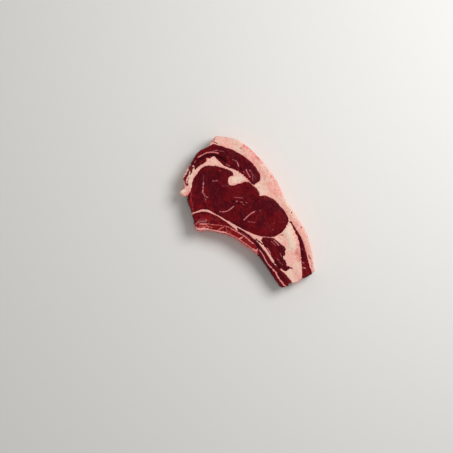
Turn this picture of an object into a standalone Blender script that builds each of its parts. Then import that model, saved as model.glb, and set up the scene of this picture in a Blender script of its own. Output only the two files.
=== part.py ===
"""Raw bone-in ribeye steak, lying on its lower cut face. Blender 4.5, metres, +Z up.

The steak is a slice sawn across a rib. Its muscles, its rib bone and the fat that holds them together
all run straight through it, so each is one solid whose outline is the same on both cut faces. +X runs
along the steak from the thick chine end to the thin tail, +Y points to the fat cap and -Y to the rib.
The origin is under the middle of the slice, on the surface it rests on.

A slab with rounded rims is worked out from the outline and a thickness that falls towards the tail.
Each tissue is the slab cut to its own prism, less the tissues made before it, and the fat is the slab
less all of them. Outlines are lists of points in millimetres, chosen by hand, with smooth curves
through them; SHARP marks a point where the curve turns a corner.
"""

import math

import bmesh
import bpy
from mathutils import Vector
from mathutils.geometry import delaunay_2d_cdt

MM = 0.001
SHARP = True

# Driving sizes, in millimetres.
THICKNESS = 28.0         # of the slice at the chine end and over the eye muscle
TAIL_THINNING = 4.0      # how much lower the slice is at the tip of the tail
TAIL_START = 30.0        # where along X the slice starts to thin
TAIL_TIP = 105.0
EYE_CROWN = 0.8          # the soft eye muscle swells a little above the rest
EYE_CENTRE = (-15.0, 8.0)
EYE_RADIUS = 45.0
RIM_ROUND = 2.0          # radius of the rounded rim at both cut faces
RIM_STEPS = 3
SIDE_BULGE = 0.8         # how far the soft side swells out at mid height
GAP = 0.3                # between touching tissues
OUTLINE_STEP = 3.0       # spacing of the points along a curve
LATTICE_STEP = 9.0       # spacing of the points across the upper face
LATTICE_MARGIN = 4.0     # kept clear between those points and the rim
CUTTER_MARGIN = 10.0     # how far a cutter passes both cut faces

# The slice's outline, clockwise from above, in six stretches that follow each other.
FAT_CAP = [(-103.5, 13.5, SHARP), (-106.5, 20.5), (-109, 29, SHARP), (-103, 37), (-91, 48.5), (-70, 56.5),
           (-39, 61), (-6.5, 59), (14.5, 55.5), (35, 55.5), (57, 54.5), (78.5, 48.5), (95.5, 41),
           (108.5, 34.5, SHARP)]
TAIL_END = [(109, 29, SHARP), (107.5, 18), (106.5, 3.5), (102.5, -1.5), (104.5, -5), (102, -12.5, SHARP)]
RIB_SIDE = [(85, -13.5), (61, -12.5), (41.5, -15.5), (26.5, -20.5), (8.5, -28.5), (-7, -41.5),
            (-16.5, -50.5), (-21.5, -59.5), (-25.5, -61.5, SHARP)]
CHINE_CUT = [(-31, -58), (-46, -52.5), (-61.5, -47)]
TORN_FAT = [(-66.5, -43.5), (-67.5, -48.5), (-76.5, -50.5), (-78, -42), (-89, -36.5), (-95, -25.5)]
CAP_EDGE = [(-99, -16.5), (-104, -5.5), (-105.5, 3.5)]
SLICE_OUTLINE = FAT_CAP + TAIL_END + RIB_SIDE + CHINE_CUT + TORN_FAT + CAP_EDGE

# Each tissue: node name, tissues it is trimmed by, and its outline, which passes outside the slice
# wherever the tissue reaches the slice's side.
TISSUES = [
    ("rib_bone", [], [
        (-33.5, -61), (-29, -54.5), (-22.5, -45), (-11, -32), (-2.5, -24), (12, -16.5), (27.5, -11.5),
        (40, -10), (46, -11), (48.5, -19), (31, -23.5), (13, -31.5), (-2.5, -44.5), (-17, -63),
        (-26.5, -69)]),
    ("cap_muscle", [], [
        (-104, 13), (-102.5, 20.5), (-93.5, 28.5), (-78.5, 39), (-56, 47.5), (-40, 48.5), (-30, 44.5),
        (-29, 39.5), (-29, 34, SHARP), (-36.5, 31.5), (-47.5, 30), (-58, 26), (-69, 18), (-80.5, 14.5),
        (-89.5, 12.5), (-90, 7), (-94, 3, SHARP), (-89.5, 0), (-90, -8), (-89.5, -17.5, SHARP),
        (-94, -15.5), (-98, -18), (-104, -22), (-111, -9), (-111, 9)]),
    ("eye_muscle", [], [
        (-70.5, -37), (-79, -27.5), (-84, -14.5), (-85.5, -6), (-77.5, 6.5), (-66.5, 16), (-59, 20),
        (-54.5, 19, SHARP), (-56, 13.5), (-50, 7.5), (-44.5, 9), (-41, 19), (-36, 29.5), (-26.5, 32.5),
        (-18, 33.5), (-12.5, 31, SHARP), (-10, 36.5), (1, 43.5), (14, 45.5), (24.5, 46.5), (35, 43.5),
        (41, 33.5), (42, 22.5), (39.5, 13.5), (29, 1.5), (14, -8.5), (-6, -18.5), (-26, -28),
        (-39.5, -36), (-45.5, -52.5), (-49, -63), (-63, -57), (-65.5, -48), (-67.5, -42)]),
    ("chine_muscle", ["rib_bone"], [
        (-45, -59.5), (-43, -54), (-38.5, -41.5), (-32, -35), (-18, -27), (-5, -22.5), (4, -19.5, SHARP),
        (-3, -31.5), (-15.5, -45), (-25, -57.5), (-31.5, -67)]),
    ("rib_muscle", [], [
        (35.5, 1), (36, 7), (41.5, 13.5), (52, 17), (62, 18.5), (68, 14.5), (70, 10), (76.5, 10),
        (81.5, 7.5), (86, 10), (85.5, 3.5), (77.5, 0.5), (64, -0.5), (49.5, 0)]),
    ("intercostal_muscle", ["rib_bone", "chine_muscle"], [
        (4.5, -16, SHARP), (14, -11.5), (24.5, -8), (36, -5.5), (50, -4.5), (66, -4.5), (77.5, -3),
        (90.5, 0.5), (102.5, 1.5, SHARP), (111.5, -4), (107, -19.5), (83.5, -25.5), (57, -22.5),
        (41, -18), (26, -17), (11.5, -17.5)]),
    ("outer_muscle", [], [
        (38, 46, SHARP), (50, 45), (63, 44.5), (74.5, 41.5), (87, 37), (100, 32), (110, 29), (114.5, 21),
        (109.5, 16), (99, 21.5), (84, 30.5), (67, 39), (55, 43)]),
]

# Base colour, roughness and metallic value of each kind of tissue.
LEAN = ((0.13, 0.010, 0.012, 1), 0.35, 0.0)
FAT = ((0.80, 0.46, 0.36, 1), 0.45, 0.0)
BONE = ((0.32, 0.045, 0.040, 1), 0.5, 0.0)


# ---- Curves -------------------------------------------------------------------------------------

def smooth_loop(points):
    """Points along a smooth closed curve through the outline's points, anticlockwise from above.

    Between two points the curve is a cubic. At a smooth point it runs parallel to the line that joins
    the point's neighbours, and at a SHARP one it heads straight for the next point.
    """
    places = [Vector(point[:2]) for point in points]
    sharp = [len(point) > 2 for point in points]
    count = len(places)
    curve = []
    for i in range(count):
        start, end = places[i], places[(i + 1) % count]
        chord = end - start
        leave = chord if sharp[i] else end - places[i - 1]
        arrive = chord if sharp[(i + 1) % count] else places[(i + 2) % count] - start
        leave = leave.normalized() * chord.length
        arrive = arrive.normalized() * chord.length
        steps = max(1, math.ceil(chord.length / OUTLINE_STEP))
        for step in range(steps):
            t = step / steps
            curve.append(start * (2 * t**3 - 3 * t**2 + 1) + leave * (t**3 - 2 * t**2 + t)
                         + end * (3 * t**2 - 2 * t**3) + arrive * (t**3 - t**2))
    area = sum(curve[i - 1].cross(curve[i]) for i in range(len(curve)))
    return curve if area > 0 else curve[::-1]


def grown(loop, distance):
    """The loop moved outwards: each side by the distance, so a corner moves further, up to twice."""
    moved = []
    for i, point in enumerate(loop):
        before = (point - loop[i - 1]).normalized()
        after = (loop[(i + 1) % len(loop)] - point).normalized()
        along = (before + after).normalized()
        reach = distance / max(0.5, along.dot(after))
        moved.append(point + Vector((along.y, -along.x)) * reach)
    return moved


def inside(point, loop):
    """Whether a point lies inside a loop: a ray along +X crosses the loop an odd number of times."""
    crossings = 0
    for i, end in enumerate(loop):
        start = loop[i - 1]
        if (start.y > point.y) != (end.y > point.y):
            crossings += point.x < start.x + (point.y - start.y) / (end.y - start.y) * (end.x - start.x)
    return crossings % 2 == 1


# ---- The slab -----------------------------------------------------------------------------------

def top_height(place):
    """Height of the upper cut face: it falls smoothly to the tail and swells over the eye muscle."""
    t = min(1, max(0, (place.x - TAIL_START) / (TAIL_TIP - TAIL_START)))
    fall = TAIL_THINNING * t * t * (3 - 2 * t)
    swell = EYE_CROWN * math.exp(-((place - Vector(EYE_CENTRE)).length / EYE_RADIUS)**2)
    return THICKNESS - fall + swell


def rim_steps():
    """(inset, drop) pairs of a quarter circle, from the cut face out to the side."""
    angles = [step / RIM_STEPS * math.pi / 2 for step in range(RIM_STEPS + 1)]
    return [(RIM_ROUND * (1 - math.sin(a)), RIM_ROUND * (1 - math.cos(a))) for a in angles]


def slab_rings(outline):
    """Rings of 3-D points up the slab's side, from the lower cut face to the upper one."""
    tops = [top_height(place) for place in outline]
    rings = []
    for inset, rise in rim_steps():
        rings.append([Vector((p.x, p.y, rise)) for p in grown(outline, -inset)])
    rings.append([Vector((p.x, p.y, top / 2)) for p, top in zip(grown(outline, SIDE_BULGE), tops)])
    for inset, drop in reversed(rim_steps()):
        rings.append([Vector((p.x, p.y, top - drop)) for p, top in zip(grown(outline, -inset), tops)])
    return rings


def upper_face(rim):
    """Triangles over the upper face: its rim and a lattice of points inside it."""
    flat_rim = [point.xy for point in rim]
    margin = grown(flat_rim, -LATTICE_MARGIN)
    low_x, high_x = min(p.x for p in flat_rim), max(p.x for p in flat_rim)
    low_y, high_y = min(p.y for p in flat_rim), max(p.y for p in flat_rim)
    lattice = []
    for column in range(math.ceil((high_x - low_x) / LATTICE_STEP)):
        for row in range(math.ceil((high_y - low_y) / LATTICE_STEP)):
            shift = LATTICE_STEP / 2 * (column % 2)
            place = Vector((low_x + column * LATTICE_STEP, low_y + row * LATTICE_STEP + shift))
            if inside(place, margin):
                lattice.append(place)
    count = len(flat_rim)
    edges = [(i, (i + 1) % count) for i in range(count)]
    inside_only = 1
    places, _, faces, *_ = delaunay_2d_cdt(flat_rim + lattice, edges, [], inside_only, 1e-4)
    points = rim + [Vector((p.x, p.y, top_height(p))) for p in places[count:]]
    return points, faces


def slab_mesh(outline):
    """The whole slice as one closed mesh: a flat lower face, a rounded side and the upper face."""
    rings = slab_rings(outline)
    points, upper = upper_face(rings[-1])
    count = len(outline)
    below = len(points)
    points = points + [point for ring in rings[:-1] for point in ring]
    levels = [below + level * count for level in range(len(rings) - 1)] + [0]
    faces = [tuple(face) for face in upper]
    for lower, higher in zip(levels, levels[1:]):
        for i in range(count):
            j = (i + 1) % count
            faces.append((lower + i, lower + j, higher + j, higher + i))
    faces.append(tuple(reversed(range(below, below + count))))
    mesh = bpy.data.meshes.new("slab")
    mesh.from_pydata([point * MM for point in points], [], faces)
    finish(mesh)
    return mesh


def finish(mesh):
    """Points every face outwards, and shades the round stretches smooth."""
    shape = bmesh.new()
    shape.from_mesh(mesh)
    bmesh.ops.recalc_face_normals(shape, faces=shape.faces)
    shape.to_mesh(mesh)
    shape.free()
    mesh.shade_smooth()
    mesh.set_sharp_from_angle(angle=math.radians(40))


# ---- The tissues --------------------------------------------------------------------------------

def cutter(name, loop):
    """A hidden upright prism on a loop, which passes both cut faces."""
    shape = bmesh.new()
    base = shape.faces.new([shape.verts.new((p.x * MM, p.y * MM, -CUTTER_MARGIN * MM)) for p in loop])
    raised = bmesh.ops.extrude_face_region(shape, geom=[base])
    height = THICKNESS + 2 * CUTTER_MARGIN
    lid = [part for part in raised["geom"] if isinstance(part, bmesh.types.BMVert)]
    bmesh.ops.translate(shape, verts=lid, vec=(0, 0, height * MM))
    mesh = bpy.data.meshes.new(name)
    shape.to_mesh(mesh)
    shape.free()
    finish(mesh)
    prism = bpy.data.objects.new(name, mesh)
    prism.display_type = "WIRE"
    prism.hide_render = True
    bpy.context.collection.objects.link(prism)
    return prism


def cut(piece, operation, tool):
    """One Boolean modifier on a piece."""
    modifier = piece.modifiers.new(f"{operation.lower()}_{tool.name}", "BOOLEAN")
    modifier.operation = operation
    modifier.object = tool
    modifier.solver = "EXACT"


def material(name, look):
    """A plain Principled material."""
    colour, roughness, metallic = look
    made = bpy.data.materials.new(name)
    made.use_nodes = True
    shader = made.node_tree.nodes["Principled BSDF"]
    shader.inputs["Base Color"].default_value = colour
    shader.inputs["Roughness"].default_value = roughness
    shader.inputs["Metallic"].default_value = metallic
    made.diffuse_color = colour
    return made


def tissue(name, slab, look):
    """A node's object: the whole slab, still to be cut."""
    piece = bpy.data.objects.new(name, slab.copy())
    piece.data.name = name
    piece.data.materials.append(material(name, look))
    bpy.context.collection.objects.link(piece)
    return piece


def middle(loop):
    """Centre of a loop's bounding rectangle."""
    xs, ys = [p.x for p in loop], [p.y for p in loop]
    return Vector(((min(xs) + max(xs)) / 2, (min(ys) + max(ys)) / 2))


def main():
    for old in list(bpy.data.objects):
        bpy.data.objects.remove(old, do_unlink=True)
    outline = smooth_loop(SLICE_OUTLINE)
    centre = middle(outline)
    slab = slab_mesh([place - centre for place in outline])
    trimmers = {}
    for name, trimmed_by, points in TISSUES:
        loop = [place - centre for place in smooth_loop(points)]
        piece = tissue(name, slab, BONE if name == "rib_bone" else LEAN)
        cut(piece, "INTERSECT", cutter(f"{name}_outline", loop))
        for other in trimmed_by:
            cut(piece, "DIFFERENCE", trimmers[other])
        trimmers[name] = cutter(f"{name}_room", grown(loop, GAP))
    fat = tissue("fat", slab, FAT)
    for trimmer in trimmers.values():
        cut(fat, "DIFFERENCE", trimmer)
    bpy.data.meshes.remove(slab)


main()
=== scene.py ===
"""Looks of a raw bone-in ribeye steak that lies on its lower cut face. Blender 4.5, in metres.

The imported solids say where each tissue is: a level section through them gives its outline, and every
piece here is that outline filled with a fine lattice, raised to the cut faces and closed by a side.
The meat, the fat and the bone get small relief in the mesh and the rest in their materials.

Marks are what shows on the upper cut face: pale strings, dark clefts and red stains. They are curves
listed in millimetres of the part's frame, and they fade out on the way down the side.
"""

import math

import bpy
import numpy as np
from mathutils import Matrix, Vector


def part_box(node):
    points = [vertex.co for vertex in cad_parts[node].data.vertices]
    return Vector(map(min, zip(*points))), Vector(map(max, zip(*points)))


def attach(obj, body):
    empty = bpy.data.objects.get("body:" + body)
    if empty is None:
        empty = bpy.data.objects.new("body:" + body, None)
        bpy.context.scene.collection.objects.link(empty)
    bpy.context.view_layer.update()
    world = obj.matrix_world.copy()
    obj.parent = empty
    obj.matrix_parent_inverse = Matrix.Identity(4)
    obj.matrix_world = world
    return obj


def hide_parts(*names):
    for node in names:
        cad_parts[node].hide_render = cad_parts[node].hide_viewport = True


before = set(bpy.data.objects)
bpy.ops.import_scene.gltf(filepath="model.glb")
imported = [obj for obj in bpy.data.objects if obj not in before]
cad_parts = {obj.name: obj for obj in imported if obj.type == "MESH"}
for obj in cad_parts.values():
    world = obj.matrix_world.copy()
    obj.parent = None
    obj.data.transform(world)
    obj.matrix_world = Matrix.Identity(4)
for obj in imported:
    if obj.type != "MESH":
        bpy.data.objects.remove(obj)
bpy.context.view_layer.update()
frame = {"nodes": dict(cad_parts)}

bl_info = {
    "name": "Raw ribeye steak",
    "version": (1, 0, 0),
    "blender": (4, 5, 0),
    "location": "View3D > Sidebar > Steak",
    "description": "Dresses the solids of a raw bone-in ribeye steak with meat, fat and bone",
    "category": "Object",
}

MM = 0.001

# Where the photograph shows the steak: its frame, the pixel above the part's origin, the size of a
# pixel at the upper cut face, and the turn from the photograph's right to the part's +X.
PHOTO_SIZE = 453
ORIGIN_PIXEL = (245.2, 218.1)
PIXEL = 1.3 * MM
PHOTO_TURN = math.radians(55)
CAMERA_HEIGHT = 1.4

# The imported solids: a height just above their rounded rim, where each is as wide as its outline, how
# near another solid a stretch of outline is a seam, the gap between them there, and how close two
# distances are the same.
SECTION_HEIGHT = 2.05 * MM
TOUCHING = 0.65 * MM
SOLID_GAP = 0.3 * MM
ROUNDING_ERROR = 0.001 * MM

# The upper face: where it thins towards the tail, where it swells over the eye muscle, how high its
# slow waves are, and how far from a seam its lumps have their full height.
TAIL_START = 30 * MM
TAIL_TIP = 105 * MM
EYE_CENTRE = (-15 * MM, 8 * MM)
EYE_RADIUS = 45 * MM
FACE_SWELL = 0.22 * MM
LUMPS_FROM_SEAM = 2 * MM

# The seams: how far in from the side neighbours overlap in full, how deep and wide a seam is in the
# lower face, and where one has fingers: the place, how far around it and how much more ragged it is.
FULL_OVERLAP = 2.5 * MM
LOWER_SEAM = 0.25 * MM
LOWER_SEAM_WIDTH = 0.8 * MM
FRAYED = (((71 * MM, 12 * MM), 13 * MM, 1.8), ((-46 * MM, 29 * MM), 8 * MM, 0.7),
          ((93 * MM, 25 * MM), 7 * MM, 0.8))

# The side: its levels, how far it may leave its rims' outline to be smoother than them, how often that
# outline and the side's heading are evened out, at which depths in the slice a wall turns from side to
# seam, and how far from a seam the side's outline starts and ends to be evened.
SIDE_LEVELS = 10
EVENED = 0.5 * MM
OUTLINE_ROUNDS = 60
HEADING_ROUNDS = 12
SIDE_TO_SEAM = (0.3 * MM, 1.2 * MM)
CLEAR_OF_SEAM = (0.5 * MM, 5 * MM)

# Waves, each a sum of parts: weight, wavelength in mm and seed.
RIM_WAVES = ((0.6, 9, 3), (0.4, 3.5, 4))
SIDE_WAVES = ((0.6, 12, 11), (0.4, 4.5, 12))
DRIFT_WAVES = (((1, 26, 21),), ((1, 26, 22),))
SEAM_BENDS = ((0.55, 8, 5),)
SEAM_TEETH = ((1, 2.7, 6),)
TOOTHED_PLACES = ((1, 16, 19),)
FACE_WAVES = ((1, 24, 7),)
ROUNDING_WAVES = ((0.2, 15, 10),)
MARK_WAVES = ((0.25, 4, 17),)

# Marks: how far one spreads past half its width, the share of its reach that fades, how fast it fades
# down the side, the depths in the slice between which it comes in on the lower face, and the steps of
# its curve from one place to the next.
MARK_SPREAD = 1.35
MARK_FADES = 0.75
DOWNWARD_FADE = 4
MARKS_BELOW = (1 * MM, 5 * MM)
CURVE_STEPS = 8

# Marks by tissue and kind: (width in mm, strength, places in mm).
# In the muscles the dark marks are painted shade in clefts, gaps and pits, and in places darker meat.
MARKS = {
    ("eye_muscle", "pale"): [
        (1.3, 0.35, [(-76.5, -12), (-68, -19)]),
        (3.0, 0.24, [(-68.5, -38.5), (-59.5, -43.5), (-51, -47.5), (-44.5, -51)]),
        (3.0, 0.22, [(-51.5, 0), (-49, 3), (-46.5, 6)]),
        (1.8, 0.7, [(-69.5, -17.5), (-64, -22), (-58.5, -26.5)]),
        (1.8, 0.55, [(-57.5, -26), (-52.5, -26), (-50, -24)]),
        (1.5, 0.5, [(-50.5, -25), (-50, -24)]),
        (1.8, 0.4, [(-53, -27.5), (-47.5, -29)]),
        (2.4, 0.42, [(-63.5, -6.5), (-60.5, -1.5)]),
        (1.5, 0.35, [(-69.5, 8), (-69, 9)]),
        (1.2, 0.45, [(-30.5, 3.5), (-23, 12.5)]),
        (1.7, 0.55, [(-24.5, 2.5), (-24, 4)]),
        (1.7, 0.55, [(-20.5, 7.5), (-19, 8.5)]),
        (1.6, 0.45, [(-16.5, 8), (-15, 8.5)]),
        (1.6, 0.45, [(-16, 12.5), (-15, 13.5)]),
        (1.5, 0.75, [(1, -2.5), (-0.5, 7.5), (0, 15.5)]),
        (1.2, 0.45, [(5.5, 0), (11.5, 7)]),
        (1.4, 0.4, [(2.5, 20.5), (3, 21.5)]),
        (1.3, 0.3, [(12, 22), (12.5, 23)]),
        (1.8, 0.3, [(26, 26), (28, 26.5)]),
        (1.8, 0.3, [(32.5, 20.5), (34, 21.5)]),
        (1.5, 0.75, [(-25.5, -22), (-21, -14.5), (-21, -3)]),
        (1.2, 0.7, [(32.5, 5), (36.5, 9), (40, 13), (43.5, 17.5)]),
    ],
    ("eye_muscle", "dark"): [
        (2.1, 0.6, [(-11.5, 30), (-10, 23.5), (-7, 16.5), (-4, 12.5)]),
        (3.2, 0.75, [(-26.5, -0.5), (-25.5, 1)]),
        (3.2, 0.75, [(-21, 3.5), (-19.5, 4.5)]),
        (3.0, 0.7, [(-15, 6), (-14, 7)]),
        (2.6, 0.6, [(-10.5, 9), (-10, 9.5)]),
        (3.0, 0.6, [(-21.5, 8.5), (-22, 10)]),
        (8.0, 0.25, [(-24, 3.5), (-13, 9)]),
        (1.6, 0.5, [(-49, 7), (-44.5, 8.5), (-41.5, 14.5)]),
        (7.8, 0.35, [(-74, -1), (-63, 7.5)]),
        (5.2, 0.3, [(-75, 6.5), (-62, 16)]),
    ],
    ("eye_muscle", "red"): [
        (9.0, 1.0, [(-69.5, -40), (-60.5, -45.5), (-51.5, -49.5), (-45, -52)]),
        (14.0, 0.45, [(-60, -28), (-52, -36), (-40, -43)]),
        (6.5, 0.5, [(-60.5, -20.5), (-51.5, -23.5), (-44, -26.5)]),
        (5.2, 0.3, [(-16.5, 3.5), (-7, 12.5)]),
        (7.8, 0.3, [(7, 12.5), (13.5, 1.5)]),
        (3.9, 0.35, [(-47.5, -45), (-41.5, -33), (-31.5, -27.5)]),
    ],
    ("cap_muscle", "pale"): [
        (1.3, 0.5, [(-97, -12.5), (-98, -9.5)]),
        (1.6, 0.8, [(-100, -5), (-99, 1.5), (-98, 8), (-94, 15), (-89.5, 19.5)]),
        (1.2, 0.6, [(-95, 16), (-93, 21)]),
        (1.0, 0.4, [(-89.5, 23.5), (-86.5, 26.5)]),
        (1.2, 0.5, [(-72, 30), (-67, 33), (-63, 32.5)]),
        (1.6, 0.75, [(-66, 33), (-63, 32.5), (-59.5, 31.5)]),
        (1.8, 0.65, [(-50.5, 37), (-45, 36), (-40.5, 35.5)]),
        (1.4, 0.5, [(-48, 40.5), (-43.5, 41)]),
        (1.4, 0.5, [(-39.5, 39), (-35.5, 37)]),
        (1.3, 0.5, [(-51, 33), (-47.5, 33)]),
        (1.5, 0.6, [(-50.5, 28), (-46.5, 29)]),
        (1.3, 0.4, [(-43, 39.5), (-38.5, 41), (-33, 40.5)]),
        (1.8, 0.5, [(-71, 20), (-67.5, 22)]),
        (1.2, 0.4, [(-91.5, 22.5), (-86, 27)]),
        (1.3, 0.3, [(-80, 25.5), (-76, 28.5)]),
    ],
    ("cap_muscle", "dark"): [
        (4.2, 0.9, [(-96.5, -4), (-96.5, 2.5), (-94, 8.5), (-90.5, 14), (-83.5, 18.5), (-74.5, 22)]),
        (2.6, 0.5, [(-99.5, 18.5), (-93.5, 24)]),
        (2.9, 0.5, [(-95.5, -10.5), (-96, -5.5)]),
        (2.6, 0.5, [(-63, 29.5), (-56, 32.5)]),
        (2.6, 0.55, [(-67, 24.5), (-61, 26.5)]),
        (2.6, 0.55, [(-57, 32), (-52.5, 31.5)]),
        (2.4, 0.5, [(-41, 31.5), (-36, 33)]),
        (2.4, 0.5, [(-61.5, 39.5), (-54, 41)]),
        (2.6, 0.5, [(-81.5, 25), (-75, 22)]),
    ],
    ("cap_muscle", "red"): [
        (3.2, 0.5, [(-100.5, -11.5), (-104, -3), (-104.5, 6)]),
        (6.5, 0.4, [(-49, 37), (-36.5, 36.5)]),
    ],
    ("chine_muscle", "pale"): [
        (1.4, 0.5, [(-25.5, -47), (-27, -42.5)]),
        (1.3, 0.35, [(-26, -36), (-19, -33)]),
        (4.2, 0.26, [(-32, -52.5), (-30, -45), (-23, -41.5)]),
        (3.0, 0.5, [(-31, -54), (-28.5, -48.5), (-25.5, -44)]),
    ],
    ("chine_muscle", "dark"): [(2.6, 0.4, [(-23, -36.5), (-12, -28)])],
    ("chine_muscle", "red"): [
        (7.0, 1.0, [(-38.5, -52.5), (-32, -55)]),
        (13.0, 0.8, [(-37, -52), (-25.5, -36.5), (-14, -29)]),
        (3.9, 0.5, [(-36, -45), (-26.5, -47)]),
    ],
    ("rib_muscle", "pale"): [
        (1.2, 0.7, [(32.5, 5), (36.5, 9), (40, 13), (43.5, 17.5)]),
        (1.4, 0.75, [(48, 1), (57.5, 0.5)]),
        (1.1, 0.55, [(44, 10.5), (52, 12)]),
        (1.3, 0.7, [(45, 14), (54.5, 15.5)]),
        (1.4, 0.5, [(64, 11), (69, 10)]),
        (1.3, 0.45, [(67, 3.5), (72, 4.5)]),
        (1.3, 0.35, [(73, 3.5), (78, 5.5)]),
    ],
    ("rib_muscle", "dark"): [
        (3.9, 0.4, [(44.5, 6), (53, 5.5), (62.5, 3.5)]),
        (2.6, 0.5, [(55, 13), (61, 12)]),
        (2.6, 0.5, [(66, 7), (74, 7.5)]),
    ],
    ("rib_muscle", "red"): [(11.0, 0.45, [(49, 9), (64, 6)])],
    ("intercostal_muscle", "pale"): [
        (1.5, 0.85, [(44, -8.5), (52.5, -8.5), (59, -9.5), (66, -10), (72.5, -9), (76.5, -8.5)]),
        (2.1, 0.95, [(76.5, -8.5), (81.5, -8), (86, -9), (93, -9), (100, -8.5), (103.5, -8)]),
        (1.0, 0.45, [(12, -15), (18.5, -12.5), (26, -10.5)]),
    ],
    ("intercostal_muscle", "dark"): [
        (1.8, 0.5, [(10, -15), (18, -11.5), (27.5, -8.5), (37, -7), (47, -6.5)]),
        (2.1, 0.4, [(54.5, -10.5), (65.5, -11.5), (76.5, -11)]),
        (3.9, 0.45, [(78, -5.5), (88.5, -5), (98, -4)]),
    ],
    ("intercostal_muscle", "red"): [(2.3, 0.7, [(50.5, -15), (63, -14), (78.5, -14), (96, -13.5)])],
    ("outer_muscle", "pale"): [
        (1.7, 0.85, [(94.5, 23), (98.5, 27)]),
        (1.4, 0.6, [(88.5, 27), (91.5, 29)]),
        (1.6, 0.7, [(97, 21), (103.5, 18)]),
    ],
    ("outer_muscle", "dark"): [(3.1, 0.45, [(60.5, 41.5), (74, 37.5), (88, 31)])],
    ("outer_muscle", "red"): [(9.0, 0.9, [(94, 26.5), (105, 24)])],
    ("rib_bone", "pale"): [
        (1.6, 0.7, [(-31, -57.5), (-27.5, -51.5), (-24, -45.5), (-18.5, -41), (-7, -27.5), (1, -22)]),
        (4.6, 1.0, [(-26, -60), (-22.5, -57.5), (-20, -53), (-16.5, -48.5)]),
        (2.6, 1.0, [(-17.5, -49.5), (-8.5, -41), (1, -32)]),
        (2.1, 0.85, [(1, -32), (9.5, -26.5), (19.5, -22), (30, -18), (38, -15.5), (47, -14)]),
        (1.4, 0.8, [(-8, -40), (-7.5, -34.5), (-6.5, -29.5)]),
        (1.2, 0.6, [(-6, -26.5), (1, -29.5)]),
        (1.2, 0.5, [(1, -27.5), (7.5, -26.5)]),
        (2.6, 0.9, [(17, -23), (19, -17.5)]),
        (1.7, 0.9, [(1.5, -22.5), (12.5, -17), (20, -14), (28.5, -12), (34, -10)]),
        (2.6, 1.0, [(39, -15), (43.5, -12)]),
        (1.6, 0.9, [(43.5, -12.5), (41, -8)]),
        (1.6, 0.6, [(-26, -55.5), (-19, -46), (-14.5, -42.5)]),
        (2.6, 0.55, [(-24, -46), (-18, -46)]),
        (3.4, 0.9, [(-27.5, -51.5), (-23, -46)]),
    ],
    ("rib_bone", "dark"): [
        (2.6, 0.5, [(-21.5, -52.5), (-15.5, -45.5)]),
        (3.4, 0.5, [(-5, -33.5), (-1, -30.5)]),
        (2.1, 0.5, [(-12.5, -43), (-10.5, -39)]),
        (2.6, 0.6, [(24, -14.5), (30.5, -13)]),
    ],
    ("rib_bone", "red"): [
        (4.6, 1.0, [(5, -22.5), (14, -22)]),
        (4.6, 1.0, [(21.5, -18.5), (28.5, -16)]),
        (4.2, 0.9, [(-16, -41.5), (-5, -32.5)]),
        (3.6, 0.8, [(33.5, -14.5), (39.5, -12)]),
        (2.6, 0.8, [(-2.5, -25), (1, -24)]),
        (2.4, 0.8, [(-27, -53.5), (-20, -46)]),
    ],
    ("fat", "pale"): [
        (2.6, 0.4, [(-90, 48.5), (-99, 39), (-107.5, 29)]),
        (5.0, 1.0, [(-76, -49.5), (-74.5, -45)]),
        (3.4, 0.4, [(-76, -31.5), (-71, -39)]),
        (2.4, 1.0, [(-94.5, -25), (-93, -29), (-91, -33), (-89.5, -36.5)]),
        (1.8, 0.9, [(-87, -38), (-84, -38.5), (-80.5, -39.5), (-77, -39.5)]),
        (1.9, 0.8, [(-91.5, -24), (-88, -27), (-86, -30.5), (-83.5, -34.5), (-81.5, -36.5)]),
        (9.0, 0.7, [(-49, 16.5), (-45.5, 23.5)]),
        (5.2, 0.4, [(-15.5, 44), (-14, 36.5)]),
        (11.0, 0.85, [(44.5, 37.5), (66, 30)]),
        (6.5, 0.4, [(90, 6.5), (100, 4.5)]),
    ],
    ("fat", "dark"): [
        (4.6, 1.0, [(-94.5, -19), (-92, -24), (-90, -29), (-88, -33.5), (-86, -36), (-82.5, -37),
                    (-79, -37.5)]),
        (2.4, 0.9, [(-92, -21.5), (-89, -24), (-87.5, -26.5)]),
        (1.6, 0.75, [(-85.5, -30), (-84, -32.5)]),
        (1.4, 0.6, [(-83, -33.5), (-81, -35.5)]),
        (1.0, 0.75, [(-106, 22.5), (-103.5, 24), (-100.5, 25.5)]),
        (0.9, 0.55, [(-107.5, 24.5), (-106, 25.5)]),
        (1.6, 0.95, [(30.5, -4.5), (35, -3), (40.5, -1.5)]),
        (2.6, 1.0, [(70, -1), (80, -1)]),
        (1.8, 0.9, [(81, 4), (84, 8), (88, 12)]),
        (2.2, 0.8, [(59, 19.5), (63.5, 19)]),
        (1.6, 0.7, [(83, 2), (87, 4.5)]),
        (1.2, 1.0, [(37, 45), (42.5, 45), (49.5, 44.5)]),
        (2.6, 1.0, [(45.5, 45), (49.5, 44.5), (57, 43)]),
        (1.6, 0.4, [(87, 39.5), (92.5, 39.5)]),
        (0.9, 0.4, [(99.5, 35.5), (103, 34.5)]),
        (1.5, 0.5, [(45, 25.5), (46, 27.5)]),
        (1.4, 0.45, [(-78, 46.5), (-77, 47.5)]),
        (1.7, 0.6, [(28, 53.5), (29, 53.5)]),
        (1.4, 0.5, [(51, 52.5), (52, 53)]),
    ],
    ("fat", "red"): [
        (7.0, 0.4, [(-75, 49), (-59, 52), (-36.5, 52.5), (-15, 51.5), (6.5, 50.5), (26.5, 49.5),
                    (48.5, 47), (69.5, 43)]),
        (4.6, 1.0, [(-78.5, 53), (-68, 57), (-56.5, 58), (-47, 59)]),
        (5.5, 1.0, [(-25, 59), (-19, 59.5), (-13.5, 58.5)]),
        (10.0, 1.0, [(70, 33), (84, 29)]),
        (12.0, 0.15, [(69, 21.5), (76.5, 21), (79, 15.5)]),
        (3.9, 0.35, [(50, 46.5), (57, 45)]),
        (4.0, 0.9, [(90, 39), (97, 37.5), (103, 34.5)]),
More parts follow.
